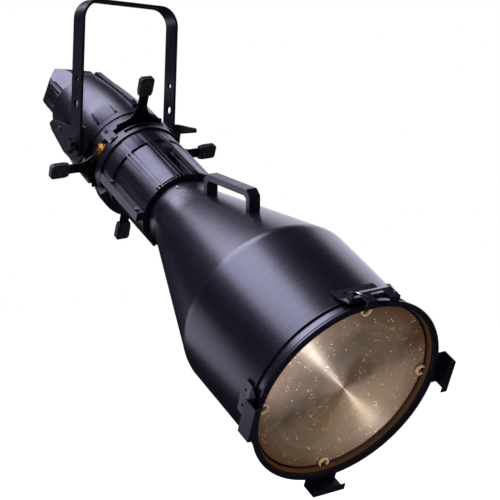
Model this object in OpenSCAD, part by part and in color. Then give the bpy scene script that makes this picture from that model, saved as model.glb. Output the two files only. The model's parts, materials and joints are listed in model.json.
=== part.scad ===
// Narrow-beam ellipsoidal spotlight: yoke, lamp cap, reflector housing, shutter barrel and
// sliding lens tube. Millimetres. +Z up through the clamp bolt, +X ahead, tilt axis along Y.
// Parts of the head are drawn level, along +X from the tilt axis, and then tipped to rest_tilt.

/* [Yoke] */
// Width of the yoke strap
strap_w = 30; // [25:1:34]
// Thickness of the yoke strap
strap_t = 5; // [4:0.5:6]
// Clear width between the yoke's arms
yoke_gap = 190; // [190:1:200]
// Height of the clamp face above the tilt axis
pivot_drop = 254; // [240:1:290]
// Outer radius of the strap's two bends
bend_r = 36; // [20:1:45]
// Diameter of the clamp bolt's hole
clamp_hole_d = 13; // [10:0.5:14]

/* [Aim at rest] */
// Angle of the head below level
rest_tilt = 30.5; // [0:0.5:60]
// Turn of the shutter barrel in its collar
rest_roll = 11; // [-25:1:25]

/* [Reflector housing] */
// Radius of the dome at its front edge
dome_r = 80; // [80:0.5:82]
// Half length of the ellipse that the dome follows
dome_len = 280; // [270:5:300]
// Rear edge of the dome, behind the tilt axis
dome_rear = 148; // [140:1:150]
// Wall of the castings
wall = 3; // [2.5:0.5:3.5]

/* [Lamp cap] */
// Radius of the cap's spigot in the dome
cap_r = 57.5; // [55:0.5:57.5]
// Half width of the lamp cap
cap_half_w = 59; // [54:1:60]
// Half height of the lamp cap
cap_half_h = 47; // [44:1:50]

/* [Gate and shutters] */
// Middle of the shutter gap, ahead of the tilt axis
gate_x = 42; // [41:0.5:43]
// Radius of the beam's aperture
aperture_r = 38; // [30:1:39]
// Half width of a shutter blade
blade_half_w = 41; // [39:1:42]
// Length of a shutter's grip
grip_len = 34; // [30:1:50]

/* [Barrel] */
// Front end of the barrel, ahead of the tilt axis
barrel_end = 207; // [200:1:215]
// Radius of the barrel's skin
barrel_r = 72; // [70:0.5:74]
// Reach of the barrel's side flanges
flange_r = 84; // [80:1:87]

/* [Lens tube] */
// Front rim, ahead of the tilt axis
rim_x = 715; // [700:1:730]
// Radius of the front rim
rim_r = 165; // [162:1:168]
// Radius of the drum
drum_r = 155; // [150:1:156]
// Shoulder between cone and drum, ahead of the tilt axis
shoulder_x = 493; // [470:1:510]
// Radius of the sleeve that slides in the barrel
sleeve_r = 60; // [56:0.5:60]
// Radius of the lens
lens_r = 150; // [140:1:150]

/* [Colour frame holders] */
// Clear width across opposite holders
frame_gap = 362; // [358:1:366]
// Depth of the holders' channel
channel_d = 24; // [12:1:26]
// Half width of a holder
holder_half_w = 29; // [20:1:32]

/* [Carrying handle] */
// Distance between the handle's feet
handle_span = 124; // [100:1:140]
// Height of the handle above the cone
handle_h = 35; // [30:1:45]
// Width of the handle
handle_w = 21; // [18:1:26]

/* [Hidden] */

$fn = 96;
eps = 0.01;          // overshoot of a cut past a face
run = 0.06;          // radial clearance of a running fit
fine = 32;           // facets on small round pieces

// Finishes
black_paint = [0.10, 0.10, 0.13];
black_plastic = [0.03, 0.03, 0.03];
bare_steel = [0.62, 0.62, 0.64];
dark_steel = [0.16, 0.16, 0.18];
clear_glass = [0.85, 0.80, 0.70];
amber_glass = [0.62, 0.48, 0.34];
white_ceramic = [0.88, 0.87, 0.83];

// Yoke
arm_y = yoke_gap / 2;                    // inner face of an arm
arm_tail = 20;                           // arm below the tilt axis
yoke_half_w = arm_y + strap_t;
lock_hole_z = 72 - pivot_drop;           // large hole in each arm
lock_hole_r = 7;
small_hole_z = 115 - pivot_drop;         // small hole in each arm
small_hole_r = 5;
pivot_r = 6;                             // tilt bolt
knob_y = arm_y + strap_t + 0.6;          // inner face of the tilt controls

// Housing
dome_front = 14;                         // widest place of the dome's ellipse
housing_end = 4;                         // front edge of the housing
dome_steps = 12;
collar_end = 15;                         // front face of the rotation collar
collar_r = 82;
spigot_r = 70;                           // gate spigot that turns in the collar
ear_y = 93;                              // outer face of a side bracket
ear_t = 4.5;
mirror_x = -12;                          // rim of the reflector
mirror_a = 134;                          // reflector's half length
mirror_b = 68;                           // reflector's rim radius
mirror_end = 72;                         // angle of the ellipse where the lamp's hole starts

// Cap
cap_front = -140;
cap_flat = -222;                         // rear face of the cap
gland_x = -175;
spindle_r = 4;

// Gate
blade_t = 1.2;
blade_gap = 3;                           // spacing of the four blade planes
gap_rear = gate_x - 6.5;
gap_front = gate_x + 7;
gate_r = 80;
gate_end = 60;
bridge_r = 77.5;                         // underside of a bridge plate
bridge_top = 82;
bridge_half_w = 9;
blade_in = 45;                           // inner edge of a blade, drawn out
neck_half_w = 9.5;
grip_in = 128;
grip_half_w = 13;
clocks = [0, 90, 180, 270];              // top, right, bottom, left

// Barrel
skin = 6;
bore_r = barrel_r - skin;
shoulder_end = 100;                      // end of the thick rear band
shoulder_r = 76;
shroud_r = 88;
bush_x = barrel_end - 17;
slot_from = 133;
slot_to = 197;
slot_half_w = 5;
rib_top = 77;
rib_w = 1.6;                             // half width of a barrel rib
flange_t = 8;
flange_from = 76;
flange_screws = [106, 194];
cover_half_a = 26;

// Lens tube
sheet = 2;
neck_x = 232;
neck_r = 63.5;
cone_a = atan((drum_r - neck_r) / (shoulder_x - neck_x));
shoulder_fillet = 45;
focus_x = 139;
lens_edge = 698;
lens_bulge = 10;
lens_back = 692;
drum_end = rim_x - 25;

// Holders
holder_t = 2;
holder_r = frame_gap / 2 + holder_t / 2;
channel_x = 704;
lip_x = channel_x + channel_d + holder_t;
lip_r = 172;
latch_x = 700;
latch_r = 178;

// Handle
handle_t = 12;
foot_x = 280;
handle_bevel = 10;

// Tips the level head to its rest angle about the tilt axis.
module in_head() {
  translate([0, 0, -pivot_drop]) rotate([0, rest_tilt, 0]) children();
}

// Places pieces of the barrel and of all that it carries.
module in_barrel() {
  in_head() rotate([rest_roll, 0, 0]) children();
}

// Turns a piece drawn at the top to a place round the beam, from +Z towards +Y.
module clock(a) {
  rotate([-a, 0, 0]) children();
}

// Solid of revolution about the beam's axis from points [x, radius].
module turned(points) {
  rotate([0, 90, 0]) rotate_extrude() polygon([for (p = points) [p[1], p[0]]]);
}

module rod_x(x0, x1, r) {
  translate([x0, 0, 0]) rotate([0, 90, 0]) cylinder(h = x1 - x0, r = r);
}

module rod_y(y0, y1, r) {
  translate([0, y0, 0]) rotate([-90, 0, 0]) cylinder(h = y1 - y0, r = r);
}

module rod_z(x, z0, z1, r) {
  translate([x, 0, z0]) cylinder(h = z1 - z0, r = r);
}

module ring_x(x0, x1, r_out, r_in) {
  difference() {
    rod_x(x0, x1, r_out);
    rod_x(x0 - eps, x1 + eps, r_in);
  }
}

// Part of a solid of revolution between two places round the beam.
module part_turned(points, from, to) {
  rotate([0, 90, 0]) rotate([0, 0, 180 - to])
    rotate_extrude(angle = to - from) polygon([for (p = points) [p[1], p[0]]]);
}

// Part of a ring between two places round the beam.
module arc_x(x0, x1, r_out, r_in, from, to) {
  part_turned([[x0, r_in], [x0, r_out], [x1, r_out], [x1, r_in]], from, to);
}

module slab(x0, x1, half_w, z0, z1) {
  translate([x0, -half_w, z0]) cube([x1 - x0, 2 * half_w, z1 - z0]);
}

function unit(v) = v / norm(v);

// The point d to the left of a line of points at its i-th corner, with mitred corners.
function beside(points, i, d) = let (
    last = len(points) - 1,
    before = unit(points[max(i, 1)] - points[max(i, 1) - 1]),
    after = unit(points[min(i, last - 1) + 1] - points[min(i, last - 1)]),
    mid = unit(before + after)
  ) points[i] + d / (mid * before) * [-mid[1], mid[0]];

// Flat band of even thickness along a line of points.
module strip(points, t) {
  last = len(points) - 1;
  polygon(concat(
    [for (i = [0 : last]) beside(points, i, t / 2)],
    [for (i = [last : -1 : 0]) beside(points, i, -t / 2)]));
}

// Extrudes an [x, z] outline evenly to both sides of the middle plane.
module across(half_w) {
  translate([0, half_w, 0]) rotate([90, 0, 0]) linear_extrude(height = 2 * half_w) children();
}

// ---------- yoke and tilt controls ----------

module round_box(w, h, r) {
  translate([-w / 2 + r, -h]) square([w - 2 * r, h]);
  translate([-w / 2, -h]) square([w, h - r]);
  for (s = [-1, 1]) translate([s * (w / 2 - r), -r]) circle(r = r);
}

module yoke() {
  arm_end = -pivot_drop - arm_tail + strap_w / 2;
  color(black_paint) difference() {
    union() {
      translate([-strap_w / 2, 0, 0]) rotate([90, 0, 90]) linear_extrude(height = strap_w)
        difference() {
          round_box(2 * yoke_half_w, -arm_end, bend_r);
          translate([0, -strap_t])
            round_box(yoke_gap, -arm_end - strap_t + eps, bend_r - strap_t);
        }
      for (s = [-1, 1])
        translate([0, s * (arm_y + strap_t / 2), arm_end])
          rod_y(-strap_t / 2, strap_t / 2, strap_w / 2);
    }
    translate([0, 0, -strap_t - eps]) cylinder(h = strap_t + 2 * eps, d = clamp_hole_d);
    for (s = [-1, 1]) translate([0, s * (arm_y + strap_t / 2), 0]) {
      translate([0, 0, -pivot_drop]) rod_y(-strap_t, strap_t, pivot_r + run);
      translate([0, 0, lock_hole_z]) rod_y(-strap_t, strap_t, lock_hole_r);
      translate([0, 0, small_hole_z]) rod_y(-strap_t, strap_t, small_hole_r);
    }
  }
}

module tilt_knob() {
  lobes = 6;
  knob_t = 15;
  color(black_plastic) in_head() difference() {
    union() {
      rod_y(-knob_y - knob_t, -knob_y, 10);
      for (i = [0 : lobes - 1]) rotate([0, i * 360 / lobes, 0])
        translate([0, 0, 10.5]) rod_y(-knob_y - knob_t, -knob_y - 4, 4);
    }
    rod_y(-knob_y - 12, -knob_y + eps, pivot_r + run);
  }
}

// Cranked lever that rests level whatever the aim at rest.
module tilt_lever() {
  color(black_plastic) translate([0, 0, -pivot_drop]) difference() {
    union() {
      rod_y(knob_y, knob_y + 14, 13);
      translate([0, knob_y + 10, 0]) across(5)
        polygon([[-9, 8], [9, 8], [12, 30], [60, 32], [61, 37], [58, 40], [8, 47], [-6, 44],
                 [-10, 30]]);
    }
    rod_y(knob_y - eps, knob_y + 12, pivot_r + run);
  }
}

// ---------- reflector housing ----------

function dome_at(x) = dome_r * sqrt(1 - pow((x - dome_front) / dome_len, 2));

// Points [x, radius] along the dome, inset by d, with its two ends drawn out by e.
function dome_line(d, e) = [for (i = [0 : dome_steps])
  let (x = (housing_end + dome_rear) * i / dome_steps - dome_rear)
  [x + (i == 0 ? -e : i == dome_steps ? e : 0), dome_at(x) - d]];

module dome_solid() {
  turned(concat([[-dome_rear, 0]], dome_line(0, 0), [[housing_end, 0]]));
}

// The hollow leaves a lip round the cap's opening.
module dome_hollow() {
  lip = -dome_rear + 5;
  hollow = [for (p = dome_line(wall, eps)) if (p[0] > lip) p];
  turned(concat(
    [[-dome_rear - eps, 0], [-dome_rear - eps, cap_r + 0.4], [lip, cap_r + 0.4],
     [lip, dome_at(lip) - wall]],
    hollow, [[housing_end + eps, 0]]));
}

module reflector_housing() {
  spine_half_w = 5;
  pad_from = 31;
  pad_to = 55;
  color(black_paint) in_head() difference() {
    union() {
      dome_solid();
      across(spine_half_w)
        polygon([[-147, 62], [-147, 70], [-143, 74], [-20, 86.5], [-8, 84], [-8, 70]]);
      for (s = [0, 1]) mirror([0, s, 0]) arc_x(-30, housing_end - 1, 82, 74, pad_from, pad_to);
    }
    dome_hollow();
  }
}

module side_bracket() {
  difference() {
    union() {
      translate([0, -ear_y + ear_t / 2, 0]) across(ear_t / 2)
        polygon([[-104, -14], [-98, -4], [-75, 4], [-33, 17], [-14, 33], [0, 36], [14, 28],
                 [22, 14], [23, -6], [16, -24], [-4, -32], [-35, -33], [-91, -21]]);
      rod_y(-ear_y, -70, 16);
      translate([-92, -ear_y + 1, -16]) cube([104, 35, 4]);
      translate([-40, -ear_y + 1, 8]) cube([40, 35, 4]);
    }
    dome_solid();
    rod_x(housing_end - eps, housing_end + 40, collar_r + 1);
    rod_y(-ear_y - eps, -60, pivot_r);
    for (x = [-70, -28]) translate([x, 0, -6]) rod_y(-ear_y - eps, -ear_y + ear_t + 1, 2.5);
  }
}

module side_bracket_left() {
  color(black_paint) in_head() side_bracket();
}

module side_bracket_right() {
  color(black_paint) in_head() mirror([0, 1, 0]) side_bracket();
}

module side_bracket_screws() {
  color(dark_steel) in_head() for (s = [0, 1]) mirror([0, s, 0])
    for (x = [-70, -28]) translate([x, 0, -6]) {
      rod_y(-ear_y - 1.4, -ear_y, 4.5);
      rod_y(-ear_y, -ear_y + ear_t, 2.5);
    }
}

module pivot_bolts() {
  color(dark_steel) in_head() for (s = [0, 1]) mirror([0, s, 0])
    rod_y(-knob_y - 10, -collar_r - 0.5, pivot_r);
}

module pivot_washers() {
  color(bare_steel) in_head() for (s = [0, 1]) mirror([0, s, 0]) difference() {
    rod_y(-arm_y + 0.2, -ear_y, 14);
    rod_y(-arm_y, -ear_y + eps, pivot_r);
  }
}

// Cooling fins round the lower half of the dome.
module vent_fins() {
  fin_clocks = [116, 132, 148, 164, 196, 212, 228, 244];
  fin_rear = -100;
  foot = [for (p = dome_line(0, 0)) if (p[0] > fin_rear) p];
  color(black_paint) in_head() for (a = fin_clocks)
    clock(a) across(1.5) polygon(concat(foot, [[housing_end, 84], [0, 87], [-40, 86], [-92, 79]]));
}

module reflector() {
  steps = 16;
  glass_t = 3;
  flange_w = 4;
  rim = mirror_b + flange_w;
  function on(a, b, t) = [mirror_x - a * sin(t), b * cos(t)];
  color(clear_glass) in_head() turned(concat(
    [[mirror_x + 4, mirror_b - glass_t], [mirror_x + 4, rim], [mirror_x, rim]],
    [for (i = [0 : steps]) on(mirror_a, mirror_b, mirror_end * i / steps)],
    [for (i = [steps : -1 : 0])
      on(mirror_a - glass_t, mirror_b - glass_t, mirror_end * i / steps)]));
}

module reflector_ring() {
  color(bare_steel) in_head() ring_x(mirror_x + 4, mirror_x + 9, 76.2, 64);
}

module rotation_collar() {
  color(black_paint) in_head() difference() {
    ring_x(housing_end, collar_end, collar_r, spigot_r + run);
    clock(180) rod_z(9.5, spigot_r - 2, collar_r + 1, spindle_r + run);
  }
}

module rotation_knob() {
  color(black_plastic) in_head() clock(180) {
    rod_z(9.5, spigot_r + 1, collar_r + 2, spindle_r);
    translate([9.5, 0, collar_r + 2]) {
      cylinder(h = 14, r = 9);
      for (i = [0 : 4]) rotate([0, 0, i * 72]) translate([8.5, 0, 3]) cylinder(h = 11, r = 4);
    }
  }
}

// ---------- lamp cap and lamp ----------

// Outline of the cap seen along X, Y or Z: points [x, share of the half size], mirrored.
function both_sides(points, half) = concat(
  [for (p = points) [p[0], p[1] * half]],
  [for (i = [len(points) - 1 : -1 : 0]) [points[i][0], -points[i][1] * half]]);

// Many-sided body of the cap from x0 in front to x1 behind, drawn in by d.
module cap_body(x0, x1, d) {
  w = cap_half_w - d;
  h = cap_half_h - d;
  section = [[-w, 0.21], [-0.86 * w, 0.5], [-0.41 * w, 1], [0.41 * w, 1], [0.86 * w, 0.5],
             [w, 0.21]];
  intersection() {
    translate([x1, 0, 0]) rotate([90, 0, 90]) linear_extrude(height = x0 - x1)
      polygon(both_sides(section, h));
    translate([0, 0, -cap_half_h - 5]) linear_extrude(height = 2 * cap_half_h + 10)
      polygon(both_sides([[x0 + 1, 1.02], [-192, 0.95], [-208, 0.86], [x1 - 1, 0.64]], w));
    across(cap_half_w + 5)
      polygon(both_sides([[x0 + 1, 1.02], [-192, 0.98], [-208, 0.91], [x1 - 1, 0.74]], h));
  }
}

module lamp_cap() {
  flange = -dome_rear - 0.3;
  vent_rear = -194;
  color(black_paint) in_head() difference() {
    union() {
      ring_x(flange - 1, cap_front, cap_r, cap_r - wall);
      ring_x(flange - 3.5, flange, cap_r + 4, 42);
      difference() {
        cap_body(flange - 1, cap_flat, 0);
        cap_body(flange + 1, cap_flat + wall, wall);
      }
      rod_x(cap_flat + wall - 1, cap_flat + 8, 11);
      for (s = [-1, 1]) for (z = [-24, 24])
        translate([-190, s * 50.4 - 1.6, z - 1.2]) cube([36, 3.2, 2.4]);
    }
    for (z = [-18, -4, 16]) translate([vent_rear, -cap_half_w - 3, z - 1.5])
      cube([36, 2 * cap_half_w + 6, 3]);
    for (s = [-1, 1]) translate([vent_rear + 6, s * 20 - 1.5, -60]) cube([28, 3, 30]);
    rod_x(cap_flat - 1, cap_flat + 9, spindle_r + run);
    clock(180) rod_z(gland_x, 40, 60, 7);
  }
}

module cap_lock_knob() {
  grips = 8;
  knob_r = 29;
  color(black_plastic) in_head() difference() {
    union() {
      rod_x(cap_flat - 8, cap_flat - 0.3, knob_r - 2);
      for (i = [0 : grips - 1]) clock(i * 360 / grips)
        translate([0, 0, knob_r - 4]) rod_x(cap_flat - 8, cap_flat - 1.5, 4);
    }
    rod_x(cap_flat - 9, cap_flat + 1, 12);
  }
}

module adjust_knob() {
  color(black_plastic) in_head() {
    rod_x(cap_flat - 8, -193, spindle_r);
    rod_x(cap_flat - 10, cap_flat - 8, 11.5);
    difference() {
      rod_x(cap_flat - 17, cap_flat - 10, 14);
      for (i = [0 : 7]) clock(i * 45) translate([0, 0, 15.5]) rod_x(cap_flat - 18, cap_flat - 9, 3);
    }
  }
}

module cable_gland() {
  color(black_plastic) in_head() clock(180) difference() {
    union() {
      rod_z(gland_x, 41, 50, 7);
      rod_z(gland_x, 47.6, 52, 10.5);
      rod_z(gland_x, 52, 61, 9);
    }
    rod_z(gland_x, 40, 62, 4.5);
  }
}

module lamp_socket() {
  color(white_ceramic) in_head() difference() {
    union() {
      rod_x(-205, -180, 19);
      rod_x(-186, -180, 24);
    }
    rod_x(-206, -186, spindle_r + run);
  }
}

module lamp_base() {
  color(bare_steel) in_head() {
    rod_x(-180, -140, 9);
    for (x = [-178 : 6 : -148]) rod_x(x, x + 3, 15);
  }
}

module lamp_bulb() {
  color(clear_glass) in_head() difference() {
    union() {
      rod_x(-140, -102, 8);
      translate([-102, 0, 0]) sphere(r = 8);
    }
    rod_x(-134, -102, 7);
    translate([-102, 0, 0]) sphere(r = 7);
  }
}

module lamp_filament() {
  color(bare_steel) in_head() for (a = [0 : 90 : 270]) clock(a)
    translate([0, 0, 3]) rod_x(-134, -104, 1);
}

// ---------- gate ----------

module bridge_seats() {
  for (a = [45 : 90 : 315]) clock(a)
    slab(gate_x - 20, gate_x + 13, bridge_half_w, bridge_r, bridge_top + 5);
}

module rotation_retainer() {
  color(bare_steel) in_barrel() ring_x(0, 3.5, spigot_r + 3, 62);
}

module gate_rear_ring() {
  color(black_paint) in_barrel() difference() {
    union() {
      rod_x(3.5, collar_end + 0.6, spigot_r);
      rod_x(collar_end + 0.5, gap_rear, gate_r);
    }
    turned([[3, 0], [3, 62], [collar_end, 60], [gap_rear + 1, 50], [gap_rear + 1, 0]]);
    bridge_seats();
    for (a = [45 : 90 : 315]) clock(a) rod_z(gate_x - 14, 66, 80, 2);
  }
}

module gate_front_ring() {
  color(black_paint) in_barrel() difference() {
    rod_x(gap_front, gate_end, gate_r);
    rod_x(gap_front - 1, gap_front + 1.5, 60);
    rod_x(gap_front, gate_end + 1, 46);
    slab(gap_front + 2.5, gap_front + 9.5, 38, -38, gate_r + 1);
    bridge_seats();
    for (a = [45 : 90 : 315]) clock(a) rod_z(gate_x + 10, 66, 80, 2);
  }
}

module gate_bridges() {
  color(dark_steel) in_barrel() for (a = [45 : 90 : 315]) clock(a) difference() {
    union() {
      slab(gate_x - 20, gate_x + 13, bridge_half_w, bridge_r, bridge_top);
      slab(gap_rear, gap_front, 7, 72, bridge_r + 0.5);
    }
    for (x = [gate_x - 14, gate_x + 10]) rod_z(x, 70, bridge_top + 1, 2);
  }
}

module gate_bridge_screws() {
  color(black_plastic) in_barrel() for (a = [45 : 90 : 315]) clock(a)
    for (x = [gate_x - 14, gate_x + 10]) {
      rod_z(x, 70, bridge_top, 2);
      rod_z(x, bridge_top, bridge_top + 1.8, 3.6);
    }
}

module gate_aperture() {
  color(bare_steel) in_barrel() ring_x(gap_front, gap_front + 1.5, 60, aperture_r);
}

module shutter_guides() {
  guide_t = 0.8;
  color(bare_steel) in_barrel() for (i = [-1 : 1]) translate([gate_x + i * blade_gap, 0, 0]) {
    ring_x(-guide_t / 2, guide_t / 2, 70, 43);
    for (a = [45 : 90 : 315]) clock(a) slab(-guide_t / 2, guide_t / 2, 5, 69, 72);
  }
}

// ---------- shutters ----------

function blade_x(i) = gate_x + (i == 0 ? -1.5 : i == 1 ? 1.5 : i == 2 ? 0.5 : -0.5) * blade_gap;

// One side of the concave flare from the blade to its neck.
function flare(t) = [
  (1 - t) * (1 - t) * 44 + 2 * t * (1 - t) * 13 + t * t * neck_half_w,
  (1 - t) * (1 - t) * 76 + 2 * t * (1 - t) * 82 + t * t * 108
];

module shutter_blade(i) {
  half = concat([[blade_half_w, blade_in], [blade_half_w, 62], [44, 70]],
    [for (k = [0 : 8]) flare(k / 8)], [[neck_half_w, grip_in + 20]]);
  outline = concat([for (p = half) [p[1], p[0]]],
    [for (k = [len(half) - 1 : -1 : 0]) [half[k][1], -half[k][0]]]);
  color(dark_steel) in_barrel() clock(clocks[i])
    translate([blade_x(i) - blade_t / 2, 0, 0]) rotate([0, -90, 0]) mirror([0, 0, 1])
      linear_extrude(height = blade_t) polygon(outline);
}

module shutter_grip(i) {
  grip_out = grip_in + grip_len;
  color(black_plastic) in_barrel() clock(clocks[i]) translate([blade_x(i), 0, 0]) difference() {
    rotate([0, 0, 90]) across(5)
      polygon([[-11.5, grip_in], [11.5, grip_in], [grip_half_w, grip_in + 5],
               [grip_half_w - 1, grip_out - 3], [grip_half_w - 4, grip_out],
               [-grip_half_w + 4, grip_out], [-grip_half_w + 2, grip_out - 3],
               [-grip_half_w, grip_in + 5]]);
    slab(-blade_t / 2, blade_t / 2, neck_half_w, grip_in - 1, grip_in + 20);
  }
}

module shutter_blade_top() { shutter_blade(0); }
module shutter_blade_right() { shutter_blade(1); }
module shutter_blade_bottom() { shutter_blade(2); }
module shutter_blade_left() { shutter_blade(3); }
module shutter_grip_top() { shutter_grip(0); }
module shutter_grip_right() { shutter_grip(1); }
module shutter_grip_bottom() { shutter_grip(2); }
module shutter_grip_left() { shutter_grip(3); }

// ---------- barrel ----------

// Half of the barrel above its split plane, with its two side flanges.
module half_barrel() {
  part_turned([
    [gate_end, bore_r], [gate_end, gate_r], [gate_end + 6, gate_r], [gate_end + 6, shoulder_r],
    [shoulder_end, shoulder_r], [shoulder_end, barrel_r], [barrel_end, barrel_r],
    [barrel_end, sleeve_r + run], [bush_x, sleeve_r + run], [bush_x, bore_r]], -90, 90);
  for (s = [0, 1]) mirror([0, s, 0])
    translate([flange_from, barrel_r - 3, 0])
      cube([barrel_end - 2 - flange_from, flange_r - barrel_r + 3, flange_t]);
}

module flange_holes() {
  for (s = [-1, 1]) for (x = flange_screws) translate([x, s * 78.5, -flange_t - 1])
    cylinder(h = 2 * flange_t + 2, r = 2.5);
}

module barrel_upper() {
  color(black_paint) in_barrel() difference() {
    union() {
      half_barrel();
      for (a = [-46, -41, -14, -9, 9, 14, 41, 46]) clock(a)
        slab(shoulder_end - 1, barrel_end - 2, rib_w, barrel_r - 2, rib_top);
      for (s = [0, 1]) mirror([0, s, 0])
        arc_x(shoulder_end + 4, barrel_end - 3, barrel_r + 2, barrel_r - 1, 17, 38);
    }
    slab(slot_from, slot_to, slot_half_w, 40, 90);
    flange_holes();
  }
}

module barrel_lower() {
  color(black_paint) in_barrel() difference() {
    union() {
      rotate([180, 0, 0]) half_barrel();
      arc_x(gate_end + 2, gate_end + 24, shroud_r, shoulder_r - 1, 110, 250);
      for (a = [150, 165, 180, 195, 210]) clock(a)
        slab(shoulder_end - 1, barrel_end - 2, rib_w, barrel_r - 2, rib_top);
    }
    clock(180) slab(88, 96, 28, 50, 80);
    clock(180) for (s = [-1, 1]) clock(s * 24) rod_z(92, 60, 80, 1.5);
    flange_holes();
  }
}

module barrel_screws() {
  color(black_plastic) in_barrel() for (s = [-1, 1]) for (x = flange_screws)
    translate([x, s * 78.5, 0]) {
      translate([0, 0, -flange_t]) cylinder(h = 2 * flange_t, r = 2.5);
      translate([0, 0, flange_t]) cylinder(h = 2.5, r = 4.2);
      translate([0, 0, -flange_t - 2.5]) cylinder(h = 2.5, r = 4.2);
    }
}

module accessory_slot_cover() {
  color(dark_steel) in_barrel() {
    arc_x(85.5, 98.5, shoulder_r + 1.5, shoulder_r, 180 - cover_half_a, 180 + cover_half_a);
    clock(180) for (s = [-1, 1]) clock(s * 24) {
      rod_z(92, 68, shoulder_r + 0.1, 1.5);
      rod_z(92, shoulder_r + 1, shoulder_r + 3, 3);
    }
  }
}

// ---------- lens tube ----------

module tube_sleeve() {
  color(dark_steel) in_barrel() difference() {
    ring_x(112, 231, sleeve_r, sleeve_r - 2.5);
    rod_z(focus_x, 50, 70, 4.5 + run);
  }
}

module sleeve_guide_ring() {
  color(bare_steel) in_barrel() ring_x(112, 122, bore_r - run, sleeve_r);
}

module tube_collar() {
  color(black_paint) in_barrel() difference() {
    ring_x(barrel_end + 2.5, 229, neck_r - 0.5, sleeve_r);
    for (a = [22 : 45 : 337]) clock(a) rod_z(219, 59, 70, 1.5);
  }
}

module tube_collar_screws() {
  color(black_plastic) in_barrel() for (a = [22 : 45 : 337]) clock(a) {
    rod_z(219, sleeve_r, neck_r - 0.5, 1.5);
    rod_z(219, neck_r - 0.5, neck_r + 0.7, 3);
  }
}

// Outline of the cone and the drum, inset by d from the outer face.
function tube_line(d) = let (
    r = shoulder_fillet,
    x1 = shoulder_x + r * tan(cone_a / 2),
    side = d / cos(cone_a)
  ) concat(
    [[neck_x, neck_r - side]],
    [for (i = [4 : -1 : 0]) let (a = cone_a * i / 4)
      [x1 - (r - d) * sin(a), drum_r - r + (r - d) * cos(a)]],
    [[drum_end, drum_r - d]]);

module lens_tube() {
  inner = tube_line(sheet);
  color(black_paint) in_barrel() difference() {
    turned(concat([[229, sleeve_r], [229, neck_r]], tube_line(0),
      [for (i = [len(inner) - 1 : -1 : 0]) inner[i]]));
    handle_bores();
  }
}

module front_ring() {
  color(black_paint) in_barrel() turned([
    [drum_end - 7, drum_r], [drum_end - 7, drum_r + 1.5], [drum_end - 4, drum_r + 3],
    [drum_end - 1, drum_r + 1.8], [rim_x - 15, drum_r + 4.5], [rim_x - 6, rim_r - 1],
    [rim_x - 2, rim_r], [rim_x, rim_r - 1.5], [rim_x, drum_r + 4], [rim_x - 3, drum_r + 2],
    [rim_x - 15, drum_r - 2], [drum_end, drum_r - 2], [drum_end, drum_r]]);
}

module lens() {
  steps = 12;
  color(amber_glass) in_barrel() turned(concat(
    [[lens_back, 0], [lens_back, lens_r]],
    [for (i = [steps : -1 : 0]) let (r = lens_r * i / steps)
      [lens_edge + lens_bulge * (1 - pow(r / lens_r, 2)), r]]));
}

module lens_seat() {
  color(dark_steel) in_barrel() ring_x(lens_back - 6, lens_back, drum_r - sheet, 140);
}

module lens_clips() {
  clip_top = drum_r - sheet - 0.2;
  color(bare_steel) in_barrel() for (a = clocks) clock(a) difference() {
    slab(lens_edge + 1.5, lens_edge + 10, 7, clip_top - 9, clip_top);
    slab(lens_edge + 3.5, lens_edge + 8, 8, clip_top - 10, clip_top - 2);
  }
}

// ---------- colour frame holders ----------

module holder_legs() {
  strip([[660, drum_r + 1.2], [682, drum_r + 2.5], [686, drum_r + 5.5], [channel_x, rim_r + 1.5],
         [channel_x, rim_r + 9]], holder_t);
}

module frame_holder(a) {
  color(black_paint) in_barrel() clock(a) difference() {
    across(holder_half_w) {
      holder_legs();
      strip([[channel_x, rim_r + 9], [channel_x, holder_r], [lip_x, holder_r], [lip_x, lip_r]],
        holder_t);
    }
    rod_x(600, drum_end, drum_r);
    for (s = [-1, 1]) translate([0, s * 14, 0]) rod_z(670, 140, 170, 2.5);
  }
}

module frame_holder_right() { frame_holder(90); }
module frame_holder_bottom() { frame_holder(180); }
module frame_holder_left() { frame_holder(270); }

// The top holder carries the latch's hinge between two lugs.
module frame_holder_top() {
  color(black_paint) in_barrel() difference() {
    union() {
      across(holder_half_w + 9) holder_legs();
      for (s = [-1, 1]) translate([0, s * (holder_half_w + 4), 0]) across(1.5)
        polygon([[latch_x - 8, rim_r + 1], [latch_x + 4, rim_r + 1], [latch_x + 4, latch_r + 2],
                 [latch_x - 1, latch_r + 5], [latch_x - 6, latch_r + 2]]);
    }
    rod_x(600, drum_end, drum_r);
    translate([latch_x - 1, 0, latch_r]) rod_y(-50, 50, 2 + run);
    for (s = [-1, 1]) translate([0, s * 20, 0]) rod_z(670, 140, 170, 2.5);
  }
}

module frame_latch() {
  latch_half_w = holder_half_w;
  color(black_paint) in_barrel() {
    translate([latch_x - 1, 0, latch_r]) rod_y(-latch_half_w - 6, latch_half_w + 6, 2);
    difference() {
      across(latch_half_w)
        strip([[latch_x - 1, latch_r + 2], [channel_x + 4, holder_r + 3], [lip_x, holder_r + 3],
               [lip_x, lip_r]], holder_t);
      slab(channel_x + 6, lip_x + 4, 12, lip_r - 4, holder_r + 8);
    }
  }
}

// Coil of wire round the latch's pin, drawn as its outer sleeve.
module latch_spring() {
  color(bare_steel) in_barrel() translate([latch_x - 1, 0, latch_r]) difference() {
    union() for (s = [-1, 1]) translate([0, s * 30.2, 0]) rod_y(-1, 1, 3.4);
    rod_y(-40, 40, 2 + run);
  }
}

// ---------- carrying handle ----------

// Stands a piece on the cone at the rear foot, with +X along the slope and +Z off the sheet.
module on_cone() {
  foot_r = neck_r + (foot_x - neck_x) * tan(cone_a);
  in_barrel() translate([foot_x, 0, foot_r]) rotate([0, -cone_a, 0]) children();
}

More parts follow.
